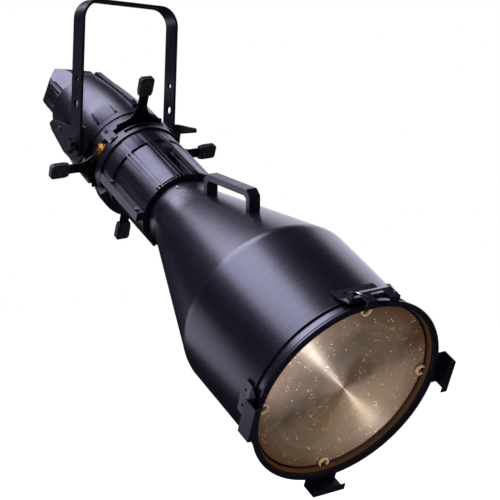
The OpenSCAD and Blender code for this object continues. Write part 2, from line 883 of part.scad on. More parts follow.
module carry_handle() {
  far = handle_span + handle_t / 2;
  near = -handle_t / 2;
  color(black_plastic) difference() {
    on_cone() across(handle_w / 2) difference() {
      polygon([[near, -3], [near, handle_h - handle_bevel], [near + handle_bevel, handle_h],
               [far - handle_bevel, handle_h], [far, handle_h - handle_bevel], [far, -3]]);
      polygon([[near + handle_t, -4], [near + handle_t, handle_h - handle_t - 4],
               [near + handle_t + 4, handle_h - handle_t],
               [far - handle_t - 4, handle_h - handle_t],
               [far - handle_t, handle_h - handle_t - 4], [far - handle_t, -4]]);
    }
    in_barrel() turned(concat([[229, 0]], tube_line(0), [[drum_end, 0]]));
    handle_holes();
  }
}

module handle_holes() {
  on_cone() for (x = [0, handle_span]) rod_z(x, -8, 12, 2.5);
}

// The same screw holes, for use inside the barrel's own frame.
module handle_bores() {
  foot_r = neck_r + (foot_x - neck_x) * tan(cone_a);
  translate([foot_x, 0, foot_r]) rotate([0, -cone_a, 0])
    for (x = [0, handle_span]) rod_z(x, -8, 3, 2.5);
}

module handle_screws() {
  color(dark_steel) on_cone() for (x = [0, handle_span]) {
    rod_z(x, -2.4, 12, 2.5);
    rod_z(x, -5, -2.3, 5);
  }
}

module focus_knob() {
  color(black_plastic) in_barrel() {
    rod_z(focus_x, 54, rib_top + 2, 4.5);
    translate([focus_x, 0, rib_top + 2]) difference() {
      cylinder(h = 8, r = 7.5);
      for (i = [0 : 7]) rotate([0, 0, i * 45]) translate([8.4, 0, 2]) cylinder(h = 7, r = 2);
    }
  }
}

yoke();
tilt_knob();
tilt_lever();
reflector_housing();
side_bracket_left();
side_bracket_right();
side_bracket_screws();
pivot_bolts();
pivot_washers();
vent_fins();
reflector();
reflector_ring();
rotation_collar();
rotation_knob();
lamp_cap();
cap_lock_knob();
adjust_knob();
cable_gland();
lamp_socket();
lamp_base();
lamp_bulb();
lamp_filament();
rotation_retainer();
gate_rear_ring();
gate_front_ring();
gate_bridges();
gate_bridge_screws();
gate_aperture();
shutter_guides();
barrel_upper();
barrel_lower();
barrel_screws();
accessory_slot_cover();
shutter_blade_top();
shutter_blade_right();
shutter_blade_bottom();
shutter_blade_left();
shutter_grip_top();
shutter_grip_right();
shutter_grip_bottom();
shutter_grip_left();
tube_sleeve();
sleeve_guide_ring();
tube_collar();
tube_collar_screws();
lens_tube();
front_ring();
lens();
lens_seat();
lens_clips();
frame_holder_top();
frame_holder_right();
frame_holder_bottom();
frame_holder_left();
carry_handle();
handle_screws();
focus_knob();
frame_latch();
latch_spring();
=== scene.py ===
"""Looks of the ellipsoidal spotlight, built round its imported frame.

Pieces are drawn in millimetres, in the frame of the group they belong to: the row's own, the head's
or the barrel's. In the last two X runs ahead along the beam and Z up from it, and a clock angle, in
degrees, turns from Z towards the beam's right.
"""

import json
import math

import bmesh
import bpy
from mathutils import Matrix, Vector

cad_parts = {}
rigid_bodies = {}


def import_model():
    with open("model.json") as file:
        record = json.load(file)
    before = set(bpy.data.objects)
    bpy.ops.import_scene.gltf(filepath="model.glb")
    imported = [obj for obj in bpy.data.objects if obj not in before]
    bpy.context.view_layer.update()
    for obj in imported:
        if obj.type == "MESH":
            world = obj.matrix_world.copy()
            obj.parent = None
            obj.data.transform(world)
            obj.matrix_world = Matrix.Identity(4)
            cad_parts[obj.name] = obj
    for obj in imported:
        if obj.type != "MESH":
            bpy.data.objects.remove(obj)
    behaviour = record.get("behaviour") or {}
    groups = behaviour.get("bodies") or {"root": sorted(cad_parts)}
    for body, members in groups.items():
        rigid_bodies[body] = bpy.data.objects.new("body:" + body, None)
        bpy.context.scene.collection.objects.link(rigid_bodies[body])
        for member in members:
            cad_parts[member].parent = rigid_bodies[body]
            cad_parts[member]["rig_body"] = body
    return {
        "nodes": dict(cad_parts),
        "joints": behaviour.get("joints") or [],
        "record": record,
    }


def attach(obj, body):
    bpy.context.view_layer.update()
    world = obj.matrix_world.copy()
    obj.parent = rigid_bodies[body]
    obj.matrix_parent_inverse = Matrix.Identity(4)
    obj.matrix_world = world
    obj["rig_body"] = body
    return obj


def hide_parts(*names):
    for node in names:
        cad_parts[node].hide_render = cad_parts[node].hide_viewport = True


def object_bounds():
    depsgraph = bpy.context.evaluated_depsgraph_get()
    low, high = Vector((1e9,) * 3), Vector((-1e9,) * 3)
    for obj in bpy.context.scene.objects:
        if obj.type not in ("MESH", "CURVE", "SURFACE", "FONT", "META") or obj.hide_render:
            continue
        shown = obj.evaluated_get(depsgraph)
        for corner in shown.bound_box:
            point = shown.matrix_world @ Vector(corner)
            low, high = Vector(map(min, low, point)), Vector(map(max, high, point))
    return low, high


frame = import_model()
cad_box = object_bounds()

# ---------- frames of the moving groups ----------

MM = 0.001
JOINTS = {j["name"]: j for j in frame["joints"]}
PIVOT = Vector(JOINTS["yoke_tilt"]["pos_m"])
BEAM = Vector(JOINTS["barrel_turn"]["axis"]).normalized()
TILT_AXIS = Vector((0, 1, 0))


def frame_at(origin, x, z):
    """Millimetre frame with that origin, +X along x and +Z as near z as it goes."""
    y = z.cross(x).normalized()
    place = Matrix((x, y, x.cross(y))).transposed().to_4x4()
    place.translation = origin
    return place @ Matrix.Scale(MM, 4)


ROW = Matrix.Scale(MM, 4)
HEAD = frame_at(PIVOT, BEAM, BEAM.cross(TILT_AXIS))
BARREL = frame_at(PIVOT, BEAM, Vector(JOINTS["focus_knob_turn"]["axis"]))
QUARTER_TURN = Matrix.Rotation(math.radians(90), 4, "Z")


def clock(degrees):
    """Turn from the top of the beam towards its right side."""
    return Matrix.Rotation(-math.radians(degrees), 4, "X")


def along(place, node):
    """Lowest and highest corners of a CAD node in a piece's own frame, in millimetres."""
    back = place.inverted()
    points = [back @ v.co for v in frame["nodes"][node].data.vertices]
    low = Vector([min(p[i] for p in points) for i in range(3)])
    high = Vector([max(p[i] for p in points) for i in range(3)])
    return low, high


# ---------- materials ----------


def enabled(sockets, name):
    """The socket of that name which the node's data type uses."""
    return next(s for s in sockets if s.name == name and s.enabled)


class Finish:
    """A node material under construction: one Principled shader and the nodes that feed it."""

    def __init__(self, name, rough, metal=0.0, **values):
        self.material = bpy.data.materials.new(name)
        self.material.use_nodes = True
        self.tree = self.material.node_tree
        self.shader = self.tree.nodes["Principled BSDF"]
        self.shader.inputs["Roughness"].default_value = rough
        self.shader.inputs["Metallic"].default_value = metal
        for socket, value in values.items():
            self.shader.inputs[socket.replace("_", " ")].default_value = value
        self.where = self.add("ShaderNodeTexCoord").outputs["Object"]

    def add(self, kind, **settings):
        node = self.tree.nodes.new(kind)
        for name, value in settings.items():
            setattr(node, name, value)
        return node

    def link(self, source, target):
        self.tree.links.new(source, target)

    def profile(self):
        """Place along a turned piece's outline, in metres."""
        return self.add("ShaderNodeAttribute", attribute_name="profile").outputs["Fac"]

    def cells(self, scale):
        """Distance to the nearest of the points strewn through the object's own metres."""
        node = self.add("ShaderNodeTexVoronoi")
        node.inputs["Scale"].default_value = scale
        self.link(self.where, node.inputs["Vector"])
        return node.outputs["Distance"]

    def noise(self, scale, detail=3.0, stretch=None):
        """Noise over the object's own metres, drawn out along an axis if stretch is given."""
        node = self.add("ShaderNodeTexNoise")
        node.inputs["Scale"].default_value = scale
        node.inputs["Detail"].default_value = detail
        source = self.where
        if stretch:
            mapping = self.add("ShaderNodeMapping")
            mapping.inputs["Scale"].default_value = stretch
            self.link(source, mapping.inputs["Vector"])
            source = mapping.outputs["Vector"]
        self.link(source, node.inputs["Vector"])
        return node.outputs["Fac"]

    def lines(self, scale, detail=4.0):
        """One-dimensional noise along a turned piece's outline, for marks that run round it."""
        node = self.add("ShaderNodeTexNoise", noise_dimensions="1D")
        node.inputs["Scale"].default_value = scale
        node.inputs["Detail"].default_value = detail
        self.link(self.profile(), node.inputs["W"])
        return node.outputs["Fac"]

    def ramp(self, source, stops):
        """Grey levels or colours that a source turns into, at their places from 0 to 1."""
        node = self.add("ShaderNodeValToRGB")
        ramp = node.color_ramp
        while len(ramp.elements) < len(stops):
            ramp.elements.new(0.5)
        for element, (place, value) in zip(ramp.elements, stops):
            element.position = place
            colour = value if isinstance(value, tuple) else (value, value, value)
            element.color = (*colour, 1.0)
        self.link(source, node.inputs["Fac"])
        return node.outputs["Color"]

    def mix(self, factor, first, second, blend="MIX"):
        node = self.add("ShaderNodeMix", data_type="RGBA", blend_type=blend)
        for source, socket in ((factor, "Factor"), (first, "A"), (second, "B")):
            target = enabled(node.inputs, socket)
            if isinstance(source, bpy.types.NodeSocket):
                self.link(source, target)
            else:
                target.default_value = source
        return enabled(node.outputs, "Result")

    def colour(self, source):
        self.link(source, self.shader.inputs["Base Color"])

    def roughness(self, source):
        self.link(source, self.shader.inputs["Roughness"])

    def bump(self, source, height, strength=1.0):
        """Relief of that height in metres, on top of any bump there already."""
        node = self.add("ShaderNodeBump")
        node.inputs["Distance"].default_value = height
        node.inputs["Strength"].default_value = strength
        self.link(source, node.inputs["Height"])
        normal = self.shader.inputs["Normal"]
        if normal.is_linked:
            self.link(normal.links[0].from_socket, node.inputs["Normal"])
        self.link(node.outputs["Normal"], normal)

    def edge_wear(self, base, bare, start=0.53, full=0.60):
        """The bare colour where the mesh is sharp, broken up by noise."""
        sharp = self.add("ShaderNodeNewGeometry").outputs["Pointiness"]
        worn = self.ramp(sharp, [(start, 0.0), (full, 1.0)])
        patchy = self.ramp(self.noise(180.0), [(0.42, 0.0), (0.62, 1.0)])
        mask = self.mix(1.0, worn, patchy, "MULTIPLY")
        return self.mix(mask, base, bare)


LAVENDER = (0.80, 0.79, 1.0, 1.0)
AMBER = (0.045, 0.019, 0.007, 1.0)
GOLD_DUST = (0.95, 0.72, 0.36, 1.0)
BRUSHED = (1.0, 12.0, 12.0)


def paint(name, spun=False):
    """Satin black stove paint over metal, with faint marks round it where it was spun."""
    f = Finish(name, 0.32, IOR=1.62, Specular_Tint=LAVENDER)
    shade = f.ramp(f.noise(14.0), [(0.3, (0.0022, 0.0018, 0.0045)), (0.7, (0.0036, 0.0030, 0.0070))])
    f.colour(shade)
    f.bump(f.noise(1400.0, 2.0), 0.00010, 0.3)
    if spun:
        f.roughness(f.ramp(f.lines(200.0), [(0.3, 0.27), (0.7, 0.30)]))
        f.bump(f.lines(420.0), 0.00002, 0.15)
    else:
        f.roughness(f.ramp(f.noise(40.0), [(0.3, 0.30), (0.7, 0.38)]))
    return f.material


def painted_lens_reflection(name):
    """Black paint with the lens's brown reflection painted into its colour, in uneven rings round the
    beam.
    """
    f = Finish(name, 0.34, IOR=1.62)
    # Painted reflection: the brown of the lens, as the rim's inner wall would mirror it.
    f.colour(f.ramp(f.lines(60.0), [(0.35, (0.020, 0.007, 0.003)), (0.65, (0.070, 0.026, 0.008))]))
    f.bump(f.noise(1400.0, 2.0), 0.00010, 0.3)
    return f.material


def plastic(name):
    """Moulded black plastic with a fine grain."""
    f = Finish(name, 0.42, IOR=1.38, Specular_Tint=LAVENDER)
    shade = f.ramp(f.noise(30.0), [(0.3, (0.0030, 0.0030, 0.0042)), (0.7, (0.0055, 0.0055, 0.0070))])
    f.colour(f.edge_wear(shade, (0.014, 0.014, 0.018, 1.0)))
    f.roughness(f.ramp(f.noise(60.0), [(0.3, 0.36), (0.7, 0.50)]))
    f.bump(f.noise(2600.0, 2.0), 0.00008, 0.5)
    return f.material


def steel(name, dark, light, rough, bare=None, metal=1.0):
    """Metal with brushed streaks and a little tarnish, and bare metal on its edges if given."""
    f = Finish(name, rough, metal)
    shade = f.ramp(f.noise(60.0, 4.0), [(0.3, dark), (0.7, light)])
    f.colour(f.edge_wear(shade, (*bare, 1.0)) if bare else shade)
    f.roughness(f.ramp(f.noise(90.0, 4.0, BRUSHED), [(0.3, rough - 0.07), (0.7, rough + 0.10)]))
    f.bump(f.noise(500.0, 3.0, BRUSHED), 0.00006, 0.4)
    return f.material


def lens_glass(name):
    """Warm glass with bright specks, whose fine turned steps draw light out along the radius."""
    f = Finish(name, 0.30, 0.30, IOR=1.52, Anisotropic=1.0, Anisotropic_Rotation=0.25,
               Coat_Weight=0.12, Coat_Roughness=0.10)
    around = f.add("ShaderNodeTangent", direction_type="RADIAL", axis="X")
    f.link(around.outputs["Tangent"], f.shader.inputs["Tangent"])
    cloud = f.ramp(f.noise(7.0, 4.0), [(0.32, (0.022, 0.012, 0.007)), (0.50, (0.085, 0.062, 0.042)),
                                       (0.70, (0.100, 0.066, 0.034))])
    rings = f.ramp(f.lines(120.0), [(0.35, 0.86), (0.65, 1.0)])
    glass = f.mix(1.0, cloud, rings, "MULTIPLY")
    near_edge = f.ramp(f.profile(), [(0.110, 0.0), (0.146, 0.75)])
    glass = f.mix(near_edge, glass, AMBER)
    speck = f.ramp(f.cells(300.0), [(0.12, 1.0), (0.20, 0.0)])
    sparse = f.ramp(f.noise(60.0, 3.0), [(0.54, 0.0), (0.60, 1.0)])
    dust = f.mix(1.0, speck, sparse, "MULTIPLY")
    f.colour(f.mix(dust, glass, GOLD_DUST))
    f.roughness(f.ramp(f.noise(18.0, 4.0), [(0.3, 0.27), (0.7, 0.33)]))
    f.bump(f.lines(900.0), 0.00003, 0.4)
    return f.material


def clear_glass(name, tint, rough, reflect=0.0):
    """Clear glass, or with reflect the bright dimpled coating of a reflector."""
    f = Finish(name, rough, reflect, IOR=1.46, Transmission_Weight=0.0 if reflect else 0.9)
    f.colour(f.ramp(f.noise(25.0), [(0.3, tuple(0.86 * c for c in tint)), (0.7, tint)]))
    f.bump(f.cells(130.0), 0.0004 if reflect else 0.00004, 0.5)
    return f.material


def ceramic(name):
    """Matt white ceramic."""
    f = Finish(name, 0.38, IOR=1.5)
    f.colour(f.ramp(f.noise(35.0), [(0.3, (0.74, 0.72, 0.66)), (0.7, (0.86, 0.84, 0.79))]))
    f.bump(f.noise(700.0), 0.00008, 0.4)
    return f.material


FINISHES = {
    "black_paint": paint("black_paint"),
    "spun_paint": paint("spun_paint", spun=True),
    "painted_lens_reflection": painted_lens_reflection("painted_lens_reflection"),
    "black_plastic": plastic("black_plastic"),
    "dark_steel": steel(
        "dark_steel", (0.07, 0.07, 0.085), (0.16, 0.16, 0.19), 0.36, bare=(0.4, 0.4, 0.43)),
    "bright_steel": steel("bright_steel", (0.24, 0.24, 0.29), (0.36, 0.36, 0.42), 0.30),
    "shutter_steel": steel(
        "shutter_steel", (0.045, 0.043, 0.055), (0.11, 0.105, 0.13), 0.33, bare=(0.85, 0.83, 0.80)),
    "spring_wire": steel("spring_wire", (0.60, 0.60, 0.62), (0.82, 0.82, 0.84), 0.18),
    "clip_brass": steel("clip_brass", (0.62, 0.42, 0.18), (0.86, 0.64, 0.34), 0.24, metal=0.35),
    "aluminium_fins": steel("aluminium_fins", (0.55, 0.56, 0.57), (0.74, 0.75, 0.76), 0.35),
    "lens_glass": lens_glass("lens_glass"),
    "reflector_glass": clear_glass("reflector_glass", (0.85, 0.80, 0.68), 0.12, reflect=0.9),
    "lamp_glass": clear_glass("lamp_glass", (0.95, 0.95, 0.95), 0.03),
    "ceramic": ceramic("ceramic"),
}
SLOTS = {s["node"]: s["material_slot"] for s in frame["record"]["subparts"]}

# ---------- shapes: lists of points and faces, in millimetres ----------


def joined(*shapes):
    """Several shapes as one."""
    points, faces = [], []
    for shape_points, shape_faces in shapes:
        start = len(points)
        points += shape_points
        faces += [[start + i for i in face] for face in shape_faces]
    return points, faces


def moved(shape, place):
    """A shape taken into another frame."""
    return [place @ Vector(p) for p in shape[0]], shape[1]


def shifted(shape, x=0.0, y=0.0):
    """A shape pushed along its own frame."""
    return moved(shape, Matrix.Translation((x, y, 0)))


def turned(profile, steps=192):
    """Closed outline of (x, radius) points turned about X."""
    points, faces = [], []
    for i in range(steps):
        a = math.radians(360.0 * i / steps)
        points += [Vector((x, r * math.sin(a), r * math.cos(a))) for x, r in profile]
    count = len(profile)
    for i in range(steps):
        here, there = i * count, (i + 1) % steps * count
        for k in range(count):
            m = (k + 1) % count
            if profile[k][1] == 0 and profile[m][1] == 0:
                continue
            faces.append([here + k, there + k, there + m, here + m])
    return points, faces


def plate(outline, half_width):
    """Outline of (x, z) points made thick to both sides along Y."""
    count = len(outline)
    points = [Vector((x, s * half_width, z)) for s in (-1, 1) for x, z in outline]
    faces = [list(range(count)), list(reversed(range(count, 2 * count)))]
    for k in range(count):
        m = (k + 1) % count
        faces.append([k, k + count, m + count, m])
    return points, faces


def block(low, high):
    """Box between two corners."""
    (x0, y0, z0), (x1, y1, z1) = low, high
    outline = [(x0, z0), (x1, z0), (x1, z1), (x0, z1)]
    return shifted(plate(outline, (y1 - y0) / 2), y=(y0 + y1) / 2)


def rod(start, end, radius, bevel, steps=32):
    """Round bar between two points, with chamfered ends."""
    start, end = Vector(start), Vector(end)
    length = (end - start).length
    outline = [(0, 0), (0, radius - bevel), (bevel, radius), (length - bevel, radius),
               (length, radius - bevel), (length, 0)]
    turn = Vector((1, 0, 0)).rotation_difference(end - start).to_matrix().to_4x4()
    return moved(turned(outline, steps), Matrix.Translation(start) @ turn)


def wire(path, radius, sides=8):
    """Round wire along a list of points."""
    path = [Vector(p) for p in path]
    points, faces = [], []
    side = None
    for i, p in enumerate(path):
        ahead = (path[min(i + 1, len(path) - 1)] - path[max(i - 1, 0)]).normalized()
        side = side or ahead.orthogonal()
        side = (side - ahead * side.dot(ahead)).normalized()
        other = ahead.cross(side)
        for k in range(sides):
            a = 2 * math.pi * k / sides
            points.append(p + radius * (math.cos(a) * side + math.sin(a) * other))
    for i in range(len(path) - 1):
        for k in range(sides):
            m = (k + 1) % sides
            faces.append([i * sides + k, i * sides + m, (i + 1) * sides + m, (i + 1) * sides + k])
    faces.append(list(reversed(range(sides))))
    faces.append([(len(path) - 1) * sides + k for k in range(sides)])
    return points, faces


# ---------- pieces ----------

WELD = 0.000002
FLAT = math.radians(0.4)
SHARP = 32


def show(name, data, place=None):
    """A new object in the scene."""
    obj = bpy.data.objects.new(name, data)
    if place:
        obj.matrix_world = place
    bpy.context.scene.collection.objects.link(obj)
    return obj


def finish_mesh(mesh, smooth_angle, weld_flats=False):
    """Clean mesh with smooth faces and sharp edges past an angle."""
    bm = bmesh.new()
    bm.from_mesh(mesh)
    bmesh.ops.remove_doubles(bm, verts=bm.verts, dist=WELD)
    if weld_flats:
        bmesh.ops.dissolve_limit(bm, angle_limit=FLAT, verts=bm.verts, edges=bm.edges)
    else:
        bmesh.ops.delete(bm, geom=[e for e in bm.edges if not e.link_faces], context="EDGES")
        bmesh.ops.recalc_face_normals(bm, faces=bm.faces)
    bm.to_mesh(mesh)
    bm.free()
    mesh.shade_smooth()
    mesh.set_sharp_from_angle(angle=math.radians(smooth_angle))


def rounded(obj, width):
    """Small round on every sharp edge."""
    edge = obj.modifiers.new("rounded_edges", "BEVEL")
    edge.width = width * MM
    edge.segments = 2
    edge.limit_method = "ANGLE"
    edge.angle_limit = math.radians(SHARP)
    edge.harden_normals = True
    edge.use_clamp_overlap = True


def set_up(obj, body, node, finish):
    """Body, finish and slot of a piece that stands for a CAD node."""
    obj.data.materials.clear()
    obj.data.materials.append(FINISHES[finish or SLOTS[node]])
    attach(obj, body)
    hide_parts(node)
    return obj


def piece(name, shape, place, body, node, finish=None,
          edge=0.0, smooth=35, profile=None, own_frame=False):
    """A new object from a shape, with its mesh in the row's frame or in its own."""
    mesh = bpy.data.meshes.new(name)
    drawn = ROW if own_frame else place
    mesh.from_pydata([drawn @ Vector(p) for p in shape[0]], [], shape[1])
    if profile:
        values = mesh.attributes.new("profile", "FLOAT", "POINT")
        values.data.foreach_set("value", [profile(p) for p in shape[0]])
    finish_mesh(mesh, smooth)
    obj = show(name, mesh, place @ ROW.inverted() if own_frame else None)
    if edge:
        rounded(obj, edge)
    return set_up(obj, body, node, finish)


def softened(node, edge, finish=None):
    """A copy of a CAD node with small rounds on its edges."""
    source = frame["nodes"][node]
    mesh = source.data.copy()
    mesh.name = node + "_round"
    finish_mesh(mesh, SHARP, weld_flats=True)
    obj = show(node + "_round", mesh)
    rounded(obj, edge)
    return set_up(obj, source["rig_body"], node, finish)


def radius_of(p):
    """Distance of a point from the beam's axis, in metres."""
    return math.hypot(p[1], p[2]) * MM


def axial_of(p):
    """Place of a point along the beam's axis, in metres."""
    return p[0] * MM


# ---------- lens tube ----------

RIM_X, _, RIM_R = along(BARREL, "front_ring")[1]
DRUM_END, _, DRUM_R = along(BARREL, "lens_tube")[1]
NECK_R = 63.5
NECK_X = 232.0
SHOULDER_X = 493.0
SHOULDER_FILLET = 45.0
CONE = math.atan((DRUM_R - NECK_R) / (SHOULDER_X - NECK_X))
SHEET = 2.0


def tube_outer(depth, steps=14):
    """(x, radius) points along cone, shoulder and drum, inset by depth."""
    bend_x = SHOULDER_X + SHOULDER_FILLET * math.tan(CONE / 2)
    bend_r = SHOULDER_FILLET - depth
    neck_r = NECK_R - depth / math.cos(CONE)
    line = [(NECK_X - 3, NECK_R - depth)]
    line += [(NECK_X + (SHOULDER_X - NECK_X) * t, neck_r + (DRUM_R - NECK_R) * t)
             for t in (0.0, 0.2, 0.4, 0.6, 0.8)]
    for i in range(steps, -1, -1):
        a = CONE * i / steps
        line.append((bend_x - bend_r * math.sin(a),
                     DRUM_R - SHOULDER_FILLET + bend_r * math.cos(a)))
    return line + [(x, DRUM_R - depth) for x in (560.0, 620.0, DRUM_END)]


def lens_tube():
    """Spun cone and drum, a sheet thick."""
    outline = tube_outer(0.0) + tube_outer(SHEET)[::-1]
    piece("tube_shell", turned(outline, 256), BARREL, "lens_tube", "lens_tube",
          finish="spun_paint", profile=axial_of, smooth=40)


def front_ring():
    """Band with a raised bead behind and a rolled rim in front, and inside it a lining whose colour
    is a painted brown reflection of the lens.
    """
    bead_x, bead_r = DRUM_END - 5.0, 2.6
    bead = [(bead_x - bead_r * math.cos(a), DRUM_R + 0.4 + bead_r * math.sin(a))
            for a in (math.pi * i / 8 for i in range(9))]
    roll_x, roll_r = RIM_X - 5.0, 5.0
    roll = [(roll_x - roll_r * math.cos(a), RIM_R - roll_r + roll_r * math.sin(a))
            for a in (math.radians(20 + 20 * i) for i in range(12))]
    flare_x, lip_x, inside = RIM_X - 15, RIM_X - 9, DRUM_R - SHEET
    outline = bead + [(DRUM_END, DRUM_R + 0.9), (flare_x, DRUM_R + 3.2), (RIM_X - 11.5, DRUM_R + 4.4)]
    outline += roll + [(RIM_X - 8, DRUM_R + 1.5), (flare_x, inside), (DRUM_END, inside),
                       (DRUM_END, DRUM_R), (bead_x - bead_r, DRUM_R)]
    piece("front_rim", turned(outline, 256), BARREL, "lens_tube", "front_ring",
          finish="spun_paint", profile=axial_of, smooth=50)
    gap, skin = 0.1, 0.4
    lining = [(RIM_X - 21, inside - gap), (RIM_X - 21, inside - gap - skin),
              (flare_x - 0.3, inside - gap - skin), (lip_x, DRUM_R + skin),
              (lip_x, DRUM_R + 2 * skin), (flare_x - 0.3, inside - gap)]
    # The lining's brown colour is a painted reflection of the lens.
    piece("rim_painted_reflection", turned(lining, 256), BARREL, "lens_tube", "front_ring",
          finish="painted_lens_reflection", profile=axial_of, smooth=50)


LENS_LOW, LENS_HIGH = along(BARREL, "lens")
LENS_R = LENS_HIGH.z
LENS_EDGE_THICK = 6.0
LENS_EDGE = LENS_LOW.x + LENS_EDGE_THICK
LENS_BULGE = LENS_HIGH.x - LENS_EDGE


def lens():
    """Glass whose low front face carries fine turned steps, steeper towards the edge."""
    pitch, parts, crown, margin, chamfer = 2.6, 4, 0.25 * LENS_BULGE, 2.0, 0.8
    centre_slope, edge_slope = 2.0, 7.0
    steps = int(LENS_R / pitch) * parts
    face = []
    for i in range(steps + 1):
        r = (LENS_R - margin) * i / steps
        slope = math.radians(centre_slope + (edge_slope - centre_slope) * r / LENS_R)
        step = slope * pitch / (2 * math.pi) * math.sin(2 * math.pi * i / parts)
        face.append((LENS_EDGE + crown * (1 - (r / LENS_R) ** 2) + step, r))
    back = [(LENS_EDGE, LENS_R - 0.5), (LENS_EDGE - chamfer, LENS_R),
            (LENS_LOW.x + chamfer, LENS_R), (LENS_LOW.x, LENS_R - chamfer),
            (LENS_LOW.x, LENS_R * 0.6), (LENS_LOW.x, 0.0)]
    return piece("lens_face", turned(face + back, 192), BARREL, "lens_tube", "lens",
                 profile=radius_of, smooth=60, own_frame=True)


def lens_clips():
    """Four C-shaped spring clips that hold the lens against its seat, open towards the rim."""
    ring_r, thick, depth, opening = 7.6, 1.4, 5.0, 48
    front, out = LENS_EDGE + 3.5, DRUM_R - 2.8 - ring_r
    angles = range(opening, 361 - opening, 14), range(360 - opening, opening - 1, -14)
    outline = []
    for r, side in zip((ring_r + thick / 2, ring_r - thick / 2), angles):
        outline += [(r * math.sin(math.radians(t)), r * math.cos(math.radians(t))) for t in side]
    clip = moved(plate(outline, depth / 2), QUARTER_TURN)
    seat = Matrix.Translation((front, 0, out))
    shapes = [moved(clip, clock(a) @ seat) for a in (0, 90, 180, 270)]
    piece("clip_springs", joined(*shapes), BARREL, "lens_tube", "lens_clips", edge=0.25)


# ---------- shutters ----------


def shutter_grips():
    """Moulded pads with a stepped base and low ribs across both faces."""
    half_thick, rib_rise, rib_width, rib_pitch = 5.0, 0.4, 2, 5
    for name, a in zip(("top", "right", "bottom", "left"), (0, 90, 180, 270)):
        node = "shutter_grip_" + name
        turned_frame = BARREL @ clock(a)
        low, high = along(turned_frame, node)
        z0, z1, half = low.z, high.z, high.y
        right_side = [(half - 2, z0), (half - 1, z0 + 5), (half, z0 + 8),
                      (half, z1 - 4), (half - 3, z1)]
        outline = [(-half + 2, z0)] + right_side + [(-y, z) for y, z in right_side[:0:-1]]
        shape = moved(plate(outline, half_thick), QUARTER_TURN)
        ribs = []
        for face in (-half_thick + 0.1, half_thick - 0.1):
            for i in range(4):
                start = z0 + 10 + rib_pitch * i
                ribs.append(block((face - rib_rise - 0.1, -half + 3, start),
                                  (face + rib_rise + 0.1, half - 3, start + rib_width)))
        piece(node + "_pad", shifted(joined(shape, *ribs), x=(low.x + high.x) / 2), turned_frame,
              "shutter_" + name, node, edge=0.8)
        softened("shutter_blade_" + name, 0.25)


# ---------- handle ----------


def carry_handle():
    """Bar handle with chamfered corners, standing on the cone."""
    foot_x, span, height, thick, half_width = 280.0, 124.0, 35.0, 12.0, 10.5
    foot_r = NECK_R + (foot_x - NECK_X) * math.tan(CONE)
    stand = BARREL @ Matrix.Translation((foot_x, 0, foot_r)) @ Matrix.Rotation(-CONE, 4, "Y")
    low, high, sink = -thick / 2, span + thick / 2, -1.0
    cut, inner_cut, under = 10.0, 4.5, height - thick
    outline = [(low, sink), (low, height - cut), (low + cut, height), (high - cut, height),
               (high, height - cut), (high, sink), (high - thick, sink),
               (high - thick, under - inner_cut), (high - thick - inner_cut, under),
               (low + thick + inner_cut, under), (low + thick, under - inner_cut),
               (low + thick, sink)]
    piece("handle_bar", plate(outline, half_width), stand, "lens_tube", "carry_handle",
          finish="black_paint", edge=2.0)


# ---------- tilt controls ----------


def star_knob():
    """Six-lobed knob with a hub and a cap over its bolt."""
    low, high = along(HEAD, "tilt_knob")
    lobes, steps, mean_r, wave, half_thick = 6, 72, 11.9, 2.3, 5.2
    outline = []
    for i in range(steps):
        a = 2 * math.pi * i / steps
        r = mean_r + wave * math.cos(lobes * a)
        outline.append((r * math.cos(a), r * math.sin(a)))
    body = shifted(plate(outline, half_thick), y=low.y + half_thick + 0.2)
    hub = rod((0, high.y, 0), (0, low.y + 4, 0), 9.5, 0.8)
    cap = rod((0, low.y + 1.0, 0), (0, low.y + 0.05, 0), 6.0, 0.4)
    piece("star_knob", joined(body, hub, cap), HEAD, "tilt_knob", "tilt_knob", edge=1.0, smooth=30)


# ---------- top latch ----------


def latch_springs():
    """Two coils round the latch's pin, each with a leg on the latch and a leg on the holder."""
    low, high = along(BARREL, "latch_spring")
    pin = Vector(((low.x + high.x) / 2, 0, (low.z + high.z) / 2))
    turns, per_turn, coil_r, wire_r, inner_y, coil_width = 3, 14, 2.75, 0.55, 29.35, 1.7
    count = turns * per_turn
    shapes = []
    for s in (-1, 1):
        coil = []
        for i in range(count + 1):
            a = 2 * math.pi * i / per_turn
            across = s * (inner_y + coil_width * i / count)
            coil.append(pin + Vector((-coil_r * math.cos(a), across, coil_r * math.sin(a))))
        rear = [pin + Vector((-9.5, s * inner_y, -8.6)), pin + Vector((-6.0, s * inner_y, -4.5))]
        front = [pin + Vector((4.0, s * 31.0, 6.5)), pin + Vector((16.0, s * 29.6, 10.6)),
                 pin + Vector((24.0, s * 24.0, 10.4))]
        shapes.append(wire(rear + coil + front, wire_r))
    piece("latch_wires", joined(*shapes), BARREL, "frame_latch", "latch_spring", smooth=60)


# ---------- everything else keeps its CAD shape, with rounded edges ----------

SOFT_EDGES = {
    "yoke": 0.7, "tilt_lever": 1.2, "reflector_housing": 0.6, "side_bracket_left": 0.7,
    "side_bracket_right": 0.7, "side_bracket_screws": 0.3, "pivot_bolts": 0.5, "pivot_washers": 0.4,
    "vent_fins": 0.4, "rotation_collar": 0.5, "rotation_knob": 0.6, "lamp_cap": 0.4,
    "cap_lock_knob": 0.7, "adjust_knob": 0.6, "cable_gland": 0.5, "gate_rear_ring": 0.6,
    "gate_front_ring": 0.6, "gate_bridges": 0.5, "gate_bridge_screws": 0.4, "barrel_upper": 0.45,
    "barrel_lower": 0.45, "barrel_screws": 0.4, "accessory_slot_cover": 0.3, "tube_collar": 0.4,
    "tube_collar_screws": 0.25, "frame_holder_top": 0.35, "frame_holder_right": 0.35,
    "frame_holder_bottom": 0.35, "frame_holder_left": 0.35, "focus_knob": 0.5, "frame_latch": 0.35,
    "lamp_base": 0.3, "lamp_socket": 0.5,
}
OTHER_FINISH = {"gate_bridge_screws": "black_plastic", "gate_bridges": "black_paint"}


